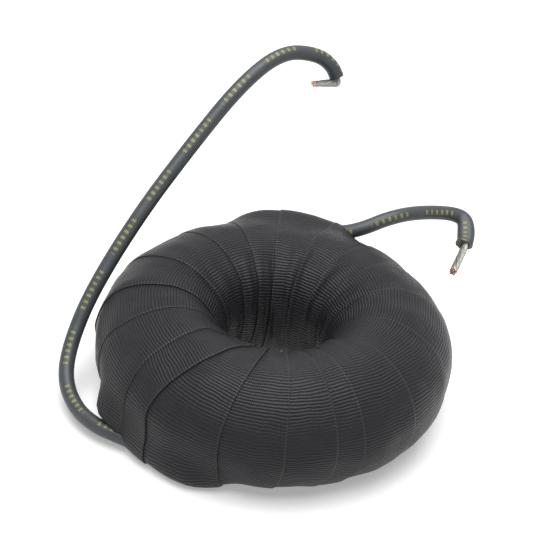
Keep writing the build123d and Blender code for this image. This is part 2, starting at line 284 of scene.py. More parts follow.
# The skin is satin, with faint lengthwise drawing lines and a dry bloom. Plain dashes are printed
# along it in faded yellow, in groups. Their sizes and their place round the jacket are in mm.
DASH_PITCH = 1.5
DASH_LENGTH = 0.62
DASH_GROUP = 14.0
DASH_GROUP_FILLED = 0.68
DASH_HALF_WIDTH = 0.55
DASH_LINE = 10.25
DRAWING_LINES_PER_MM = (0.12, 3.0, 1.0)
pvc, tree, shader = new_material("grey_pvc_jacket", Roughness=0.42, Specular_IOR_Level=0.4)
jacket_uv = add_node(tree, "ShaderNodeUVMap", uv_map="jacket_mm")
place = add_node(tree, "ShaderNodeTexCoord")
bloom = add_node(tree, "ShaderNodeTexNoise", {
    "Vector": place.outputs["Object"], "Scale": 1 / (2.5 * MM), "Detail": 4.0, "Roughness": 0.6})
skin_shade = add_node(tree, "ShaderNodeMix", {
    0: bloom.outputs["Fac"], 6: linear("#303437"), 7: linear("#484c4f")}, data_type="RGBA")
apart = add_node(tree, "ShaderNodeSeparateXYZ", {0: jacket_uv.outputs["UV"]})
in_pitch = add_node(tree, "ShaderNodeMath", {
    0: apart.outputs["X"], 1: DASH_PITCH}, operation="FLOORED_MODULO")
in_dash = add_node(tree, "ShaderNodeMath", {0: in_pitch.outputs[0], 1: DASH_LENGTH}, operation="LESS_THAN")
in_period = add_node(tree, "ShaderNodeMath", {
    0: apart.outputs["X"], 1: DASH_GROUP}, operation="FLOORED_MODULO")
in_group = add_node(tree, "ShaderNodeMath", {
    0: in_period.outputs[0], 1: DASH_GROUP * DASH_GROUP_FILLED}, operation="LESS_THAN")
from_line = add_node(tree, "ShaderNodeMath", {0: apart.outputs["Y"], 1: DASH_LINE}, operation="SUBTRACT")
off_line = add_node(tree, "ShaderNodeMath", {0: from_line.outputs[0]}, operation="ABSOLUTE")
on_line = add_node(tree, "ShaderNodeMath", {
    0: off_line.outputs[0], 1: DASH_HALF_WIDTH}, operation="LESS_THAN")
printed = add_node(tree, "ShaderNodeMath", {
    0: in_dash.outputs[0], 1: in_group.outputs[0]}, operation="MULTIPLY")
printed = add_node(tree, "ShaderNodeMath", {
    0: printed.outputs[0], 1: on_line.outputs[0]}, operation="MULTIPLY")
worn = add_node(tree, "ShaderNodeMapRange", {
    "Value": bloom.outputs["Fac"], "From Min": 0.3, "From Max": 0.7, "To Min": 0.45, "To Max": 0.9})
ink = add_node(tree, "ShaderNodeMath", {0: printed.outputs[0], 1: worn.outputs[0]}, operation="MULTIPLY")
marked = add_node(tree, "ShaderNodeMix", {
    0: ink.outputs[0], 6: skin_shade.outputs[2], 7: linear("#8c8c48")}, data_type="RGBA")
tree.links.new(marked.outputs[2], shader.inputs["Base Color"])
drawn = add_node(tree, "ShaderNodeVectorMath", {
    0: jacket_uv.outputs["UV"], 1: DRAWING_LINES_PER_MM}, operation="MULTIPLY")
drawing_lines = add_node(tree, "ShaderNodeTexNoise", {
    "Vector": drawn.outputs[0], "Scale": 1.0, "Detail": 3.0})
skin_bump = add_node(tree, "ShaderNodeBump", {
    "Height": drawing_lines.outputs["Fac"], "Distance": 0.05 * MM, "Strength": 0.6})
tree.links.new(skin_bump.outputs["Normal"], shader.inputs["Normal"])

# Where it is torn, the PVC is paler, dull and crumbly
torn_pvc, tree, shader = new_material("torn_pvc", Roughness=0.75)
place = add_node(tree, "ShaderNodeTexCoord")
crumbs = add_node(tree, "ShaderNodeTexNoise", {
    "Vector": place.outputs["Object"], "Scale": 1 / (0.35 * MM), "Detail": 4.0})
torn_shade = add_node(tree, "ShaderNodeMix", {
    0: crumbs.outputs["Fac"], 6: linear("#3c3e3d"), 7: linear("#8f908c")}, data_type="RGBA")
tree.links.new(torn_shade.outputs[2], shader.inputs["Base Color"])
torn_bump = add_node(tree, "ShaderNodeBump", {"Height": crumbs.outputs["Fac"], "Distance": 0.25 * MM})
tree.links.new(torn_bump.outputs["Normal"], shader.inputs["Normal"])


# How far each cut is torn back, in mm, round the tube
def lead_1_torn(angle):
    return 0.35 + 0.25 * math.sin(angle + 1.0) + 0.12 * math.sin(5 * angle) + 0.06 * math.sin(11 * angle + 2)


def lead_2_torn(angle):
    return 0.4 + 0.3 * math.sin(angle + 2.2) + 0.14 * math.sin(4 * angle + 1) + 0.08 * math.sin(9 * angle)


# How the skin is squeezed out of round: lead 1 by the cutter, lead 2 by its kink
def lead_1_squeeze(angle, from_end):
    return 1 + 0.05 * math.exp(-(from_end / 4.0) ** 2) * math.cos(2 * angle)


def lead_2_squeeze(angle, from_end):
    return 1 + 0.24 * math.exp(-((from_end - 4.0) / 5.0) ** 2) * math.cos(2 * (angle - 1.15))


# How far the skin is bent outwards at the cut, in mm: only lead 2 has such a flap
def no_flare(angle, from_end):
    return 0.0


def lead_2_flare(angle, from_end):
    return 0.8 * math.exp(-(from_end / 0.9) ** 2) * max(0.0, math.cos(angle - 0.3)) ** 4


lead_1, lead_1_line = jacket_tube(
    "lead_1_skin", LEAD_1_ROUTE, (0, 0, 1), lead_1_torn, lead_1_squeeze, no_flare)
lead_2, lead_2_line = jacket_tube(
    "lead_2_skin", LEAD_2_ROUTE, (0, -1, 0), lead_2_torn, lead_2_squeeze, lead_2_flare)
for jacket in (lead_1, lead_2):
    jacket.data.materials.append(pvc)
    jacket.data.materials.append(torn_pvc)


# Bare strands
# Each lead's conductor is nineteen tinned copper strands, twisted together and stiffened by
# solder. They leave the torn jacket sideways, and the cutter has left their pink ends flattened.
STRAND_RADIUS = 0.185 * MM
BUNDLE_RINGS = [(0.0, 1), (0.37, 6), (0.74, 12)]
TIP_START = 0.98

# Drawn copper, dipped in tin and dulled by air, with bare copper at the cut ends
tinned, tree, shader = new_material("tinned_copper_strand", Metallic=1.0, Roughness=0.42)
tip = add_node(tree, "ShaderNodeAttribute", attribute_name="cut_end")
place = add_node(tree, "ShaderNodeTexCoord")
dulled = add_node(tree, "ShaderNodeTexNoise", {
    "Vector": place.outputs["Object"], "Scale": 1 / (0.7 * MM), "Detail": 3.0})
tin_shade = add_node(tree, "ShaderNodeMix", {
    0: dulled.outputs["Fac"], 6: linear("#6f6f69"), 7: linear("#a9a8a0")}, data_type="RGBA")
strand_shade = add_node(tree, "ShaderNodeMix", {
    0: tip.outputs["Fac"], 6: tin_shade.outputs[2], 7: linear("#d6a898")}, data_type="RGBA")
tree.links.new(strand_shade.outputs[2], shader.inputs["Base Color"])

# The tree copies a line into a ring of strands, twists them round it, trims each at its own length
# and spreads them towards the tip
strands_tree = bpy.data.node_groups.new("twisted_strands", "GeometryNodeTree")
interface = strands_tree.interface
interface.new_socket("Geometry", in_out="INPUT", socket_type="NodeSocketGeometry")
for socket_name, default in (
        ("Strand Count", 12.0), ("Ring Radius", 0.74 * MM), ("Strand Radius", STRAND_RADIUS),
        ("Twist Turns", 0.9), ("Tip Width", 1.4), ("Tip Height", 0.6), ("Ragged Ends", 0.04)):
    socket = interface.new_socket(socket_name, in_out="INPUT", socket_type="NodeSocketFloat")
    socket.default_value = default
interface.new_socket("Material", in_out="INPUT", socket_type="NodeSocketMaterial")
interface.new_socket("Geometry", in_out="OUTPUT", socket_type="NodeSocketGeometry")
tree = strands_tree
given = add_node(tree, "NodeGroupInput").outputs
copies = add_node(tree, "GeometryNodeDuplicateElements", {
    "Geometry": given["Geometry"], "Amount": given["Strand Count"]}, domain="SPLINE")
share = add_node(tree, "ShaderNodeMath", {
    0: copies.outputs["Duplicate Index"], 1: given["Strand Count"]}, operation="DIVIDE")
held = add_node(tree, "GeometryNodeStoreNamedAttribute", {
    "Geometry": copies.outputs["Geometry"], "Name": "strand_share", "Value": share.outputs[0]},
    domain="CURVE", data_type="FLOAT")
ragged = add_node(tree, "FunctionNodeRandomValue", {
    2: 0.0, 3: given["Ragged Ends"], "Seed": 4}, data_type="FLOAT")
cut_at = add_node(tree, "ShaderNodeMath", {0: 1.0, 1: ragged.outputs[1]}, operation="SUBTRACT")
trimmed = add_node(tree, "GeometryNodeTrimCurve", {
    "Curve": held.outputs["Geometry"], "End": cut_at.outputs[0]}, mode="FACTOR")
dense = add_node(tree, "GeometryNodeResampleCurve", {"Curve": trimmed.outputs["Curve"], "Count": 48})
along = add_node(tree, "GeometryNodeSplineParameter")
strand_share = add_node(tree, "GeometryNodeInputNamedAttribute", {"Name": "strand_share"}, data_type="FLOAT")
twist = add_node(tree, "ShaderNodeMath", {
    0: along.outputs["Factor"], 1: given["Twist Turns"], 2: strand_share.outputs["Attribute"]},
    operation="MULTIPLY_ADD")
turn = add_node(tree, "ShaderNodeMath", {0: twist.outputs[0], 1: 2 * math.pi}, operation="MULTIPLY")
across = add_node(tree, "ShaderNodeMath", {0: turn.outputs[0]}, operation="COSINE")
upwards = add_node(tree, "ShaderNodeMath", {0: turn.outputs[0]}, operation="SINE")
widening = add_node(tree, "ShaderNodeMapRange", {
    "Value": along.outputs["Factor"], "From Min": 0.45, "From Max": 0.95, "To Min": 1.0,
    "To Max": given["Tip Width"]}, interpolation_type="SMOOTHSTEP")
flattening = add_node(tree, "ShaderNodeMapRange", {
    "Value": along.outputs["Factor"], "From Min": 0.45, "From Max": 0.95, "To Min": 1.0,
    "To Max": given["Tip Height"]}, interpolation_type="SMOOTHSTEP")
wide = add_node(tree, "ShaderNodeMath", {
    0: across.outputs[0], 1: widening.outputs["Result"]}, operation="MULTIPLY")
flat = add_node(tree, "ShaderNodeMath", {
    0: upwards.outputs[0], 1: flattening.outputs["Result"]}, operation="MULTIPLY")
normal = add_node(tree, "GeometryNodeInputNormal")
tangent = add_node(tree, "GeometryNodeInputTangent")
second = add_node(tree, "ShaderNodeVectorMath", {
    0: tangent.outputs[0], 1: normal.outputs[0]}, operation="CROSS_PRODUCT")
out_across = add_node(tree, "ShaderNodeVectorMath", {
    0: second.outputs[0], "Scale": wide.outputs[0]}, operation="SCALE")
out_upwards = add_node(tree, "ShaderNodeVectorMath", {
    0: normal.outputs[0], "Scale": flat.outputs[0]}, operation="SCALE")
out = add_node(tree, "ShaderNodeVectorMath", {
    0: out_across.outputs[0], 1: out_upwards.outputs[0]}, operation="ADD")
offset = add_node(tree, "ShaderNodeVectorMath", {
    0: out.outputs[0], "Scale": given["Ring Radius"]}, operation="SCALE")
moved = add_node(tree, "GeometryNodeSetPosition", {
    "Geometry": dense.outputs["Curve"], "Offset": offset.outputs[0]})
at_tip = add_node(tree, "ShaderNodeMath", {
    0: along.outputs["Factor"], 1: TIP_START}, operation="GREATER_THAN")
tipped = add_node(tree, "GeometryNodeStoreNamedAttribute", {
    "Geometry": moved.outputs["Geometry"], "Name": "cut_end", "Value": at_tip.outputs[0]},
    domain="POINT", data_type="FLOAT")
profile = add_node(tree, "GeometryNodeCurvePrimitiveCircle", {
    "Resolution": 10, "Radius": given["Strand Radius"]}, mode="RADIUS")
strand = add_node(tree, "GeometryNodeCurveToMesh", {
    "Curve": tipped.outputs["Geometry"], "Profile Curve": profile.outputs["Curve"], "Fill Caps": True})
smooth = add_node(tree, "GeometryNodeSetShadeSmooth", {"Geometry": strand.outputs["Mesh"]})
real = add_node(tree, "GeometryNodeRealizeInstances", {"Geometry": smooth.outputs["Geometry"]})
finished = add_node(tree, "GeometryNodeSetMaterial", {
    "Geometry": real.outputs["Geometry"], "Material": given["Material"]})
add_node(tree, "NodeGroupOutput", {"Geometry": finished.outputs["Geometry"]})


def apply_tree(source, tree, values, name):
    """Runs a node tree on an object and returns its result as a plain mesh object."""
    modifier = source.modifiers.new("tree", "NODES")
    modifier.node_group = tree
    sockets = {item.name: item.identifier for item in tree.interface.items_tree if item.in_out == "INPUT"}
    for socket_name, value in values.items():
        modifier[sockets[socket_name]] = value
    bpy.context.view_layer.update()
    depsgraph = bpy.context.evaluated_depsgraph_get()
    mesh = bpy.data.meshes.new_from_object(source.evaluated_get(depsgraph))
    mesh.name = name
    source.modifiers.remove(modifier)
    made = bpy.data.objects.new(name, mesh)
    bpy.context.scene.collection.objects.link(made)
    return made


def bare_strands(name, route, values):
    """A lead's bare strands along a route in mm, one ring of strands round another."""
    points = smooth_line(route)
    curve = bpy.data.curves.new("bundle_line", "CURVE")
    curve.dimensions = "3D"
    spline = curve.splines.new("POLY")
    spline.points.add(len(points) - 1)
    for point, position in zip(spline.points, points):
        point.co = (*position, 1.0)
    line = bpy.data.objects.new("bundle_line", curve)
    bpy.context.scene.collection.objects.link(line)
    rings = []
    for ring_radius, count in BUNDLE_RINGS:
        ring_values = dict(values, Material=tinned)
        ring_values["Strand Count"] = float(count)
        ring_values["Ring Radius"] = ring_radius * MM
        rings.append(apply_tree(line, strands_tree, ring_values, name))
    with bpy.context.temp_override(active_object=rings[-1], selected_editable_objects=rings):
        bpy.ops.object.join()
    bpy.data.objects.remove(line)
    rings[-1].name = name
    return rings[-1]


lead_1_strands = bare_strands(
    "lead_1_strands", [(7.7, 53.3, 55.2), (7.95, 53.3, 54.3), (8.1, 52.7, 53.5), (6.8, 52.0, 53.9),
                       (2.3, 48.7, 54.7)],
    {"Twist Turns": 0.6, "Tip Width": 0.9, "Tip Height": 0.6, "Ragged Ends": 0.05})
lead_2_strands = bare_strands(
    "lead_2_strands", [(43.38, 41.1, 20.93), (43.2, 39.6, 20.3), (42.9, 38.4, 19.9), (40.5, 31.6, 17.8)],
    {"Twist Turns": 0.7, "Tip Width": 1.6, "Tip Height": 1.0, "Ragged Ends": 0.05})

for jacket, line, strands, number in (
        (lead_1, lead_1_line, lead_1_strands, 1), (lead_2, lead_2_line, lead_2_strands, 2)):
    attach(jacket, "root")
    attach(strands, "root")
    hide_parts(f"lead_{number}_jacket")
    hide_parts(f"lead_{number}_conductor")


# Outer wrap
# Black woven tape, ribbed across its width, pulled round the wound ring in eighteen lapped turns.
# Each turn's free edge lies on the turn beside it, and the tape gathers in pleats at the hole.
# Lengths are in mm. The free edges' angles at the rim and at the lip of the hole are in degrees.
RING_RADIUS = 25.7
HALF_WIDTH = 14.05
HALF_HEIGHT = 13.85
LEVEL = 13.6
RIM_EDGES = [12, 34, 52, 72, 92, 113, 135, 158, 180, 200, 222, 232, 257, 277, 293, 302, 322, 345]
LIP_EDGES = [20, 40, 58, 78, 98, 112, 128, 160, 186, 206, 228, 260, 269, 280, 289, 298, 325, 352]
TURNS = len(RIM_EDGES)
# Most of the edges lie flat, and five stand up
LAP_STEPS = [
    0.2, 0.17, 0.22, 0.18, 0.22, 0.2, 0.17, 0.22, 0.34, 0.17, 0.2, 0.42, 0.4, 0.22, 0.4, 0.36, 0.18, 0.22]
LAP_STEP_FACE = 0.4
SECTION_ROWS = 300
LAP_SHARES = [0, 0.04, 0.1, 0.19, 0.29, 0.39, 0.5, 0.61, 0.71, 0.81, 0.89, 0.95, 0.985, 1.0]
SELVEDGE_DROP = 0.1


def edge_angle(turn, section):
    """The angle round the ring of a turn's free edge at a section angle, both in degrees.

    The section angle runs from -90 under the ring, by 0 at the rim and 90 on top, to 180 at the lip
    and 270.
    """

    def whole(angles, index):
        return angles[index % TURNS] + 360 * (index // TURNS)

    def underside(index):
        return (whole(LIP_EDGES, index - 1) + whole(RIM_EDGES, index)) / 2

    stations = [(-90, underside(turn)), (0, whole(RIM_EDGES, turn)),
                (180, whole(LIP_EDGES, turn)), (270, underside(turn + 1))]
    for (start, start_angle), (end, end_angle) in zip(stations, stations[1:]):
        if section <= end:
            ease = (1 - math.cos(math.pi * (section - start) / (end - start))) / 2
            return start_angle + (end_angle - start_angle) * ease
    return stations[-1][1]


def lap_step(turn, section):
    """How far a turn's free edge stands above the turn beside it."""
    before, own, after = (LAP_STEPS[(turn + offset) % TURNS] for offset in (-1, 0, 1))
    return float(np.interp(section, [-90, 0, 180, 270], [(before + own) / 2, own, own, (own + after) / 2]))


def tape_layout():
    """The turns laid out flat: x the angle round the ring, y the section angle, z the climb in mm.

    Its UV map holds each turn's own length and width in mm, from its free edge, and the attribute
    lap_share how far across the visible turn a point lies.
    """
    rng = random.Random(11)
    columns = len(LAP_SHARES)
    vertices, lap_shares = [], []
    lengths, widths = [], []
    sections = [-90 + 360 * row / SECTION_ROWS for row in range(SECTION_ROWS + 1)]
    for turn in range(TURNS):
        own = np.array([edge_angle(turn, s) for s in sections])
        free = np.array([edge_angle(turn + 1, s) for s in sections])
        radii = RING_RADIUS + HALF_WIDTH * np.cos(np.radians(sections))
        sideways = radii * np.radians(np.gradient(free))
        forwards = np.full(len(sections), math.radians(360 / SECTION_ROWS) * HALF_WIDTH)
        slope = np.arctan2(sideways, forwards)
        edge_length = np.concatenate([[0.0], np.cumsum(np.hypot(sideways, forwards)[1:])])
        edge_length += rng.uniform(0, 0.7)
        for row, section in enumerate(sections):
            row_lengths, row_widths = [], []
            for share in LAP_SHARES:
                angle = own[row] + (free[row] - own[row]) * share
                back = radii[row] * math.radians(free[row] - angle)
                row_lengths.append(edge_length[row] - back * math.sin(slope[row]))
                row_widths.append(back * math.cos(slope[row]))
                if row < SECTION_ROWS:
                    climb = share * lap_step(turn + 1, section)
                    if share == 1:
                        climb -= SELVEDGE_DROP
                    vertices.append((angle, section, climb))
                    lap_shares.append(share)
            lengths.append(row_lengths)
            widths.append(row_widths)

    def vertex(turn, row, column):
        turn = turn % TURNS
        if row == SECTION_ROWS:
            turn, row = (turn + 1) % TURNS, 0
        return (turn * SECTION_ROWS + row) * columns + column

    faces, uvs = [], []
    for turn in range(TURNS):
        for row in range(SECTION_ROWS):
            first = turn * (SECTION_ROWS + 1) + row
            for column in range(columns):
                if column < columns - 1:
                    corners = ((row, column), (row, column + 1), (row + 1, column + 1), (row + 1, column))
                    faces.append([vertex(turn, r, c) for r, c in corners])
                    for r, c in corners:
                        uvs.append((lengths[first + r - row][c], widths[first + r - row][c]))
                else:
                    faces.append([
                        vertex(turn, row, column), vertex(turn + 1, row, 0),
                        vertex(turn + 1, row + 1, 0), vertex(turn, row + 1, column)])
                    low, high = lengths[first][column], lengths[first + 1][column]
                    uvs.extend([(low, 0.0), (low, -LAP_STEP_FACE), (high, -LAP_STEP_FACE), (high, 0.0)])
    mesh = bpy.data.meshes.new("tape_layout")
    mesh.from_pydata(vertices, [], faces)
    mesh.uv_layers.new(name="tape_mm").data.foreach_set("uv", np.array(uvs, np.float32).ravel())
    mesh.attributes.new("lap_share", "FLOAT", "POINT").data.foreach_set("value", lap_shares)
    layout = bpy.data.objects.new("tape_layout", mesh)
    bpy.context.scene.collection.objects.link(layout)
    return layout


# The tree bends the flat layout round the ring, lifts it over the splices and leads, and gathers it
# in pleats towards the hole. The ring stands on its flattened underside.
PLEATS_ROUND_RING = 6.5
PLEATS_ALONG_SECTION = 0.8
LUMP_SIZE = 11
FULLEST_SECTION = 234.0
FULLNESS_SPREAD = 26.0
wrap_tree = bpy.data.node_groups.new("tape_round_ring", "GeometryNodeTree")
interface = wrap_tree.interface
interface.new_socket("Geometry", in_out="INPUT", socket_type="NodeSocketGeometry")
for socket_name, default in (
        ("Ring Radius", RING_RADIUS), ("Half Width", HALF_WIDTH), ("Half Height", HALF_HEIGHT),
        ("Level", LEVEL), ("Gather Height", 0.45), ("Pleat Height", 1.9), ("Unevenness", 1.7),
        ("Swelling Height", 3.9), ("Swelling Spread", 4.2), ("Hole Fullness", 2.3)):
    socket = interface.new_socket(socket_name, in_out="INPUT", socket_type="NodeSocketFloat")
    socket.default_value = default
interface.new_socket("Covered Runs", in_out="INPUT", socket_type="NodeSocketObject")
interface.new_socket("Material", in_out="INPUT", socket_type="NodeSocketMaterial")
interface.new_socket("Geometry", in_out="OUTPUT", socket_type="NodeSocketGeometry")
tree = wrap_tree
given = add_node(tree, "NodeGroupInput").outputs
laid = add_node(tree, "GeometryNodeInputPosition")
laid = add_node(tree, "ShaderNodeSeparateXYZ", {0: laid.outputs[0]})
angle = add_node(tree, "ShaderNodeMath", {0: laid.outputs["X"]}, operation="RADIANS").outputs[0]
section = add_node(tree, "ShaderNodeMath", {0: laid.outputs["Y"]}, operation="RADIANS").outputs[0]
round_x = add_node(tree, "ShaderNodeMath", {0: angle}, operation="COSINE").outputs[0]
round_y = add_node(tree, "ShaderNodeMath", {0: angle}, operation="SINE").outputs[0]
outwards = add_node(tree, "ShaderNodeMath", {0: section}, operation="COSINE").outputs[0]
upwards = add_node(tree, "ShaderNodeMath", {0: section}, operation="SINE").outputs[0]
base_radius = add_node(tree, "ShaderNodeMath", {
    0: outwards, 1: given["Half Width"], 2: given["Ring Radius"]}, operation="MULTIPLY_ADD").outputs[0]
base_x = add_node(tree, "ShaderNodeMath", {0: round_x, 1: base_radius}, operation="MULTIPLY").outputs[0]
base_y = add_node(tree, "ShaderNodeMath", {0: round_y, 1: base_radius}, operation="MULTIPLY").outputs[0]
base_z = add_node(tree, "ShaderNodeMath", {
    0: upwards, 1: given["Half Height"], 2: given["Level"]}, operation="MULTIPLY_ADD").outputs[0]
base = add_node(tree, "ShaderNodeCombineXYZ", {0: base_x, 1: base_y, 2: base_z}).outputs[0]
# Towards the lip of the hole the tape gathers in a ridge across each turn and in narrow pleats
inwards = add_node(tree, "ShaderNodeMath", {0: outwards, 1: -1.0}, operation="MULTIPLY").outputs[0]
inner_side = add_node(tree, "ShaderNodeMath", {0: inwards, 1: 0.0}, operation="MAXIMUM").outputs[0]
lap_share = add_node(tree, "GeometryNodeInputNamedAttribute", {"Name": "lap_share"}, data_type="FLOAT")
over_lap = add_node(tree, "ShaderNodeMath", {
    0: lap_share.outputs["Attribute"], 1: math.pi}, operation="MULTIPLY").outputs[0]
ridge = add_node(tree, "ShaderNodeMath", {0: over_lap}, operation="SINE").outputs[0]
ridge = add_node(tree, "ShaderNodeMath", {0: ridge, 1: inner_side}, operation="MULTIPLY").outputs[0]
ridge = add_node(tree, "ShaderNodeMath", {
    0: ridge, 1: given["Gather Height"]}, operation="MULTIPLY").outputs[0]
pleat_way = add_node(tree, "ShaderNodeCombineXYZ", {0: round_x, 1: round_y, 2: section}).outputs[0]
pleat_way = add_node(tree, "ShaderNodeVectorMath", {
    0: pleat_way, 1: (PLEATS_ROUND_RING, PLEATS_ROUND_RING, PLEATS_ALONG_SECTION)},
    operation="MULTIPLY").outputs[0]
pleats = add_node(tree, "ShaderNodeTexNoise", {
    "Vector": pleat_way, "Scale": 1.0, "Detail": 2.0, "Roughness": 0.45}).outputs[0]
pleats = add_node(tree, "ShaderNodeMath", {0: pleats, 1: 0.5}, operation="SUBTRACT").outputs[0]
pleat_growth = add_node(tree, "ShaderNodeMapRange", {
    "Value": inwards, "From Min": -0.75, "From Max": 0.8, "To Min": 0.12, "To Max": 1.0},
    interpolation_type="SMOOTHSTEP").outputs[0]
pleats = add_node(tree, "ShaderNodeMath", {0: pleats, 1: pleat_growth}, operation="MULTIPLY").outputs[0]
pleats = add_node(tree, "ShaderNodeMath", {
    0: pleats, 1: given["Pleat Height"]}, operation="MULTIPLY").outputs[0]
# The padding under the tape is a little lumpy
lumps = add_node(tree, "ShaderNodeTexNoise", {
    "Vector": base, "Scale": 1 / LUMP_SIZE, "Detail": 1.5, "Roughness": 0.4}).outputs[0]
lumps = add_node(tree, "ShaderNodeMath", {0: lumps, 1: 0.5}, operation="SUBTRACT").outputs[0]
lumps = add_node(tree, "ShaderNodeMath", {0: lumps, 1: given["Unevenness"]}, operation="MULTIPLY").outputs[0]
# Low in the hole the turns crowd together and the wrap is at its thickest
apart = add_node(tree, "ShaderNodeMath", {
    0: laid.outputs["Y"], 1: 180.0 - FULLEST_SECTION}, operation="ADD").outputs[0]
apart = add_node(tree, "ShaderNodeMath", {0: apart, 1: 360.0}, operation="FLOORED_MODULO").outputs[0]
apart = add_node(tree, "ShaderNodeMath", {0: apart, 1: -180.0}, operation="ADD").outputs[0]
apart = add_node(tree, "ShaderNodeMath", {0: apart, 1: FULLNESS_SPREAD}, operation="DIVIDE").outputs[0]
apart = add_node(tree, "ShaderNodeMath", {0: apart, 1: apart}, operation="MULTIPLY").outputs[0]
apart = add_node(tree, "ShaderNodeMath", {0: apart, 1: -1.0}, operation="MULTIPLY").outputs[0]
fullness = add_node(tree, "ShaderNodeMath", {0: apart}, operation="EXPONENT").outputs[0]
fullness = add_node(tree, "ShaderNodeMath", {
    0: fullness, 1: given["Hole Fullness"]}, operation="MULTIPLY").outputs[0]
# Over a splice or a lead the tape swells, by the distance to the run that it covers
covered = add_node(tree, "GeometryNodeObjectInfo", {"Object": given["Covered Runs"]})
nearest = add_node(tree, "GeometryNodeProximity", {
    "Geometry": covered.outputs["Geometry"], "Sample Position": base}, target_element="EDGES")
far = add_node(tree, "ShaderNodeMath", {
    0: nearest.outputs["Distance"], 1: given["Swelling Spread"]}, operation="DIVIDE").outputs[0]
far = add_node(tree, "ShaderNodeMath", {0: far, 1: 2.0}, operation="POWER").outputs[0]
far = add_node(tree, "ShaderNodeMath", {0: far, 1: -1.0}, operation="MULTIPLY").outputs[0]
swelling = add_node(tree, "ShaderNodeMath", {0: far}, operation="EXPONENT").outputs[0]
swelling = add_node(tree, "ShaderNodeMath", {
    0: swelling, 1: given["Swelling Height"]}, operation="MULTIPLY").outputs[0]
lift = laid.outputs["Z"]
for part in (ridge, pleats, lumps, fullness, swelling):
    lift = add_node(tree, "ShaderNodeMath", {0: lift, 1: part}, operation="ADD").outputs[0]
half_width = add_node(tree, "ShaderNodeMath", {0: given["Half Width"], 1: lift}, operation="ADD").outputs[0]
half_height = add_node(tree, "ShaderNodeMath", {0: given["Half Height"], 1: lift}, operation="ADD").outputs[0]
radius = add_node(tree, "ShaderNodeMath", {
    0: half_width, 1: outwards, 2: given["Ring Radius"]}, operation="MULTIPLY_ADD").outputs[0]
height = add_node(tree, "ShaderNodeMath", {
    0: half_height, 1: upwards, 2: given["Level"]}, operation="MULTIPLY_ADD").outputs[0]
height = add_node(tree, "ShaderNodeMath", {0: height, 1: 0.0}, operation="MAXIMUM").outputs[0]
wrapped_x = add_node(tree, "ShaderNodeMath", {0: radius, 1: round_x}, operation="MULTIPLY").outputs[0]
wrapped_y = add_node(tree, "ShaderNodeMath", {0: radius, 1: round_y}, operation="MULTIPLY").outputs[0]
wrapped = add_node(tree, "ShaderNodeCombineXYZ", {0: wrapped_x, 1: wrapped_y, 2: height}).outputs[0]
wrapped = add_node(tree, "ShaderNodeVectorMath", {0: wrapped, "Scale": MM}, operation="SCALE").outputs[0]
wrapped = add_node(tree, "GeometryNodeSetPosition", {"Geometry": given["Geometry"], "Position": wrapped})
wrapped = add_node(tree, "GeometryNodeRealizeInstances", {"Geometry": wrapped.outputs["Geometry"]})
wrapped = add_node(tree, "GeometryNodeSetMaterial", {
    "Geometry": wrapped.outputs["Geometry"], "Material": given["Material"]})
add_node(tree, "NodeGroupOutput", {"Geometry": wrapped.outputs["Geometry"]})

# Rayon and cotton, woven with a thick weft, so that it is ribbed across: a soft satin on each rib,
# painted shade darkening the furrows between ribs, and along the free edge a paler line, a painted highlight
# where the raised edge catches the light.
RIB_PITCH = 0.7
RIB_STRAY = 1.1
RIB_RELIEF = 0.13 * MM
YARN_PITCH = 0.42
YARN_RELIEF_SHARE = 0.22
EDGE_HIGHLIGHT_WIDTH = 0.55
woven, tree, shader = new_material("black_ribbed_tape", Specular_IOR_Level=0.2)
tape_uv = add_node(tree, "ShaderNodeUVMap", uv_map="tape_mm")
place = add_node(tree, "ShaderNodeTexCoord")
drift = add_node(tree, "ShaderNodeTexNoise", {
    "Vector": place.outputs["Object"], "Scale": 1 / (5 * MM), "Detail": 2.0})
apart = add_node(tree, "ShaderNodeSeparateXYZ", {0: tape_uv.outputs["UV"]})
strayed = add_node(tree, "ShaderNodeMath", {
    0: drift.outputs["Fac"], 1: RIB_STRAY, 2: apart.outputs["X"]}, operation="MULTIPLY_ADD").outputs[0]
ribs = add_node(tree, "ShaderNodeMath", {0: strayed, 1: RIB_PITCH}, operation="DIVIDE").outputs[0]
in_rib = add_node(tree, "ShaderNodeMath", {0: ribs}, operation="FRACT").outputs[0]
rib_number = add_node(tree, "ShaderNodeMath", {0: ribs}, operation="FLOOR").outputs[0]
rib = add_node(tree, "ShaderNodeMath", {0: in_rib, 1: math.pi}, operation="MULTIPLY").outputs[0]
rib = add_node(tree, "ShaderNodeMath", {0: rib}, operation="SINE").outputs[0]
rib = add_node(tree, "ShaderNodeMath", {0: rib, 1: 0.7}, operation="POWER").outputs[0]
yarns = add_node(tree, "ShaderNodeMath", {
    0: apart.outputs["Y"], 1: YARN_PITCH}, operation="DIVIDE").outputs[0]
yarns = add_node(tree, "ShaderNodeMath", {
    0: rib_number, 1: 0.5, 2: yarns}, operation="MULTIPLY_ADD").outputs[0]
yarn = add_node(tree, "ShaderNodeMath", {0: yarns}, operation="FRACT").outputs[0]
yarn = add_node(tree, "ShaderNodeMath", {0: yarn, 1: math.pi}, operation="MULTIPLY").outputs[0]
yarn = add_node(tree, "ShaderNodeMath", {0: yarn}, operation="SINE").outputs[0]
relief = add_node(tree, "ShaderNodeMath", {
    0: yarn, 1: YARN_RELIEF_SHARE, 2: rib}, operation="MULTIPLY_ADD").outputs[0]
tape_bump = add_node(tree, "ShaderNodeBump", {"Height": relief, "Distance": RIB_RELIEF, "Strength": 1.0})
tree.links.new(tape_bump.outputs["Normal"], shader.inputs["Normal"])
wear = add_node(tree, "ShaderNodeTexNoise", {
    "Vector": place.outputs["Object"], "Scale": 1 / (9 * MM), "Detail": 4.0, "Roughness": 0.6})
rib_shade = add_node(tree, "ShaderNodeMix", {
    0: wear.outputs["Fac"], 6: linear("#18181b"), 7: linear("#25252a")}, data_type="RGBA")
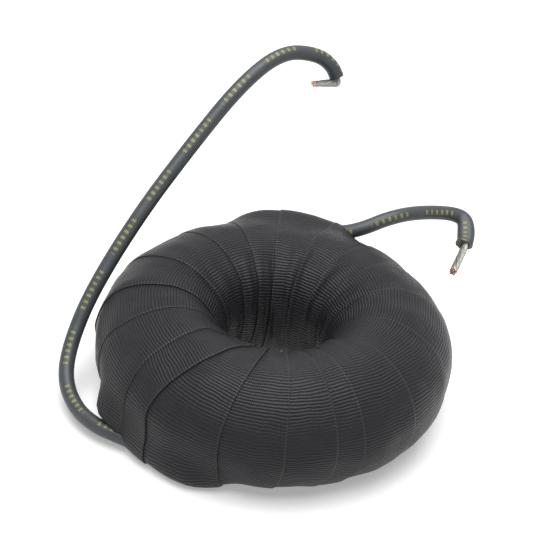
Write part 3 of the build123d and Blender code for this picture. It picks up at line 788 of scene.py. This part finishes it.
# Painted shade: the furrows between ribs are darkened in the colour, as if shaded by the ribs.
painted_furrow_shade = add_node(tree, "ShaderNodeMix", {
    0: rib, 6: linear("#08080a"), 7: rib_shade.outputs[2]}, data_type="RGBA")
# Painted highlight: the tape is made paler along its free edge, where the raised edge would catch the light.
edge_highlight_share = add_node(tree, "ShaderNodeMapRange", {
    "Value": apart.outputs["Y"], "From Min": 0.0, "From Max": EDGE_HIGHLIGHT_WIDTH, "To Min": 0.5,
    "To Max": 0.0}).outputs[0]
painted_edge_highlight = add_node(tree, "ShaderNodeMix", {
    0: edge_highlight_share, 6: painted_furrow_shade.outputs[2], 7: linear("#3e3d3a")}, data_type="RGBA")
tree.links.new(painted_edge_highlight.outputs[2], shader.inputs["Base Color"])
satin = add_node(tree, "ShaderNodeMapRange", {"Value": rib, "To Min": 0.7, "To Max": 0.3})
tree.links.new(satin.outputs["Result"], shader.inputs["Roughness"])

# Where the tape swells: plain edges in mm over each splice and over lead 1's way out
covered_mesh = bpy.data.meshes.new("covered_runs")
covered_mesh.from_pydata(
    [(-10.5, -35.5, 1.4), (-14.9, -33.2, 3.7), (-25.4, -25.4, 4.2), (-28.8, -24.3, 3.6), (-32.7, -20.4, 8.0),
     (-9.5, 37.8, 23.8), (12.0, 36.8, 23.0)],
    [(0, 1), (1, 2), (2, 3), (3, 4), (5, 6)], [])
covered_runs = bpy.data.objects.new("covered_runs", covered_mesh)
bpy.context.scene.collection.objects.link(covered_runs)
layout = tape_layout()
outer_wrap = apply_tree(
    layout, wrap_tree, {"Covered Runs": covered_runs, "Material": woven}, "woven_outer_wrap")
bpy.data.objects.remove(layout)
bpy.data.objects.remove(covered_runs)
outer_wrap.data.polygons.foreach_set("use_smooth", [True] * len(outer_wrap.data.polygons))
outer_wrap.data.set_sharp_from_angle(angle=math.radians(50))
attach(outer_wrap, "root")
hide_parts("outer_wrap")


# Floor and backdrop
# A pale floor that keeps the part's soft shadow and is white to the camera.
FLOOR_HALF = 3.0
FLOOR_LIFT = 0.35
WORLD_FILL = 0.12
white_floor, tree, shader = new_material("white_floor", Roughness=0.9, Specular_IOR_Level=0.0)
shader.inputs["Base Color"].default_value = linear("#e6e6e6")
shader.inputs["Emission Color"].default_value = (1, 1, 1, 1)
seen = add_node(tree, "ShaderNodeLightPath")
lift_by = add_node(tree, "ShaderNodeMath", {
    0: seen.outputs["Is Camera Ray"], 1: seen.outputs["Is Glossy Ray"]}, operation="MAXIMUM")
lift_by = add_node(tree, "ShaderNodeMath", {
    0: lift_by.outputs[0], 1: seen.outputs["Is Transmission Ray"]}, operation="MAXIMUM")
lift_by = add_node(tree, "ShaderNodeMath", {0: lift_by.outputs[0], 1: FLOOR_LIFT}, operation="MULTIPLY")
tree.links.new(lift_by.outputs[0], shader.inputs["Emission Strength"])
floor_mesh = bpy.data.meshes.new("floor")
floor_mesh.from_pydata(
    [(-FLOOR_HALF, -FLOOR_HALF, 0), (FLOOR_HALF, -FLOOR_HALF, 0), (FLOOR_HALF, FLOOR_HALF, 0),
     (-FLOOR_HALF, FLOOR_HALF, 0)], [], [(0, 1, 2, 3)])
floor_mesh.materials.append(white_floor)
floor = bpy.data.objects.new("floor", floor_mesh)
bpy.context.scene.collection.objects.link(floor)

scene = bpy.context.scene
world = bpy.data.worlds.new("studio")
scene.world = world
world.use_nodes = True
tree = world.node_tree
background = tree.nodes["Background"]
background.inputs["Color"].default_value = (1, 1, 1, 1)
seen = add_node(tree, "ShaderNodeLightPath")
direct = add_node(tree, "ShaderNodeMath", {
    0: seen.outputs["Is Camera Ray"], 1: seen.outputs["Is Glossy Ray"]}, operation="MAXIMUM")
direct = add_node(tree, "ShaderNodeMath", {
    0: direct.outputs[0], 1: seen.outputs["Is Transmission Ray"]}, operation="MAXIMUM")
strength = add_node(tree, "ShaderNodeMapRange", {
    "Value": direct.outputs[0], "To Min": WORLD_FILL, "To Max": 1.0})
tree.links.new(strength.outputs["Result"], background.inputs["Strength"])


# Light
# One softbox straight overhead and a little to the camera's side, as over a product table. Its size
# is in metres, and its radiance is how bright its face is.
SOFTBOX_WIDTH = 0.56
SOFTBOX_DEPTH = 0.72
SOFTBOX_RADIANCE = 5.3
SOFTBOX_CENTRE = Vector((0.0, -0.06, 0.6))
SOFTBOX_AIM = Vector((0.0, -0.059, 0.0))
lamp_data = bpy.data.lights.new("overhead_softbox", "AREA")
lamp_data.shape = "RECTANGLE"
lamp_data.size = SOFTBOX_WIDTH
lamp_data.size_y = SOFTBOX_DEPTH
lamp_data.energy = SOFTBOX_RADIANCE * math.pi * SOFTBOX_WIDTH * SOFTBOX_DEPTH
lamp = bpy.data.objects.new("overhead_softbox", lamp_data)
lamp.location = SOFTBOX_CENTRE
lamp.rotation_euler = (SOFTBOX_AIM - SOFTBOX_CENTRE).to_track_quat("-Z", "Y").to_euler()
scene.collection.objects.link(lamp)


# Camera
# The photograph's viewing angle: 36 degrees above the table, tilted six degrees about its own axis.
# Distances are in metres and the lens in mm.
CAMERA_DISTANCE = 0.3506
CAMERA_ELEVATION = math.radians(36.18)
CAMERA_ROLL = math.radians(5.97)
CAMERA_LENS = 106.0
AIM_RIGHT = -0.00351
AIM_UP = 0.01736
ring_centre = Vector((0, 0, LEVEL * MM))
back = Vector((0, -math.cos(CAMERA_ELEVATION), math.sin(CAMERA_ELEVATION)))
right = Vector((1, 0, 0))
up = back.cross(right)
position = ring_centre + back * CAMERA_DISTANCE
aim = ring_centre + right * AIM_RIGHT + up * AIM_UP
camera_data = bpy.data.cameras.new("camera")
camera_data.sensor_width = 36.0
camera_data.lens = CAMERA_LENS
camera_data.clip_start = 0.01
camera = bpy.data.objects.new("camera", camera_data)
scene.collection.objects.link(camera)
camera.location = position
camera.rotation_mode = "QUATERNION"
facing = (aim - position).to_track_quat("-Z", "Y")
camera.rotation_quaternion = facing @ Quaternion((0, 0, 1), CAMERA_ROLL)
scene.camera = camera
scene.view_settings.view_transform = "Standard"
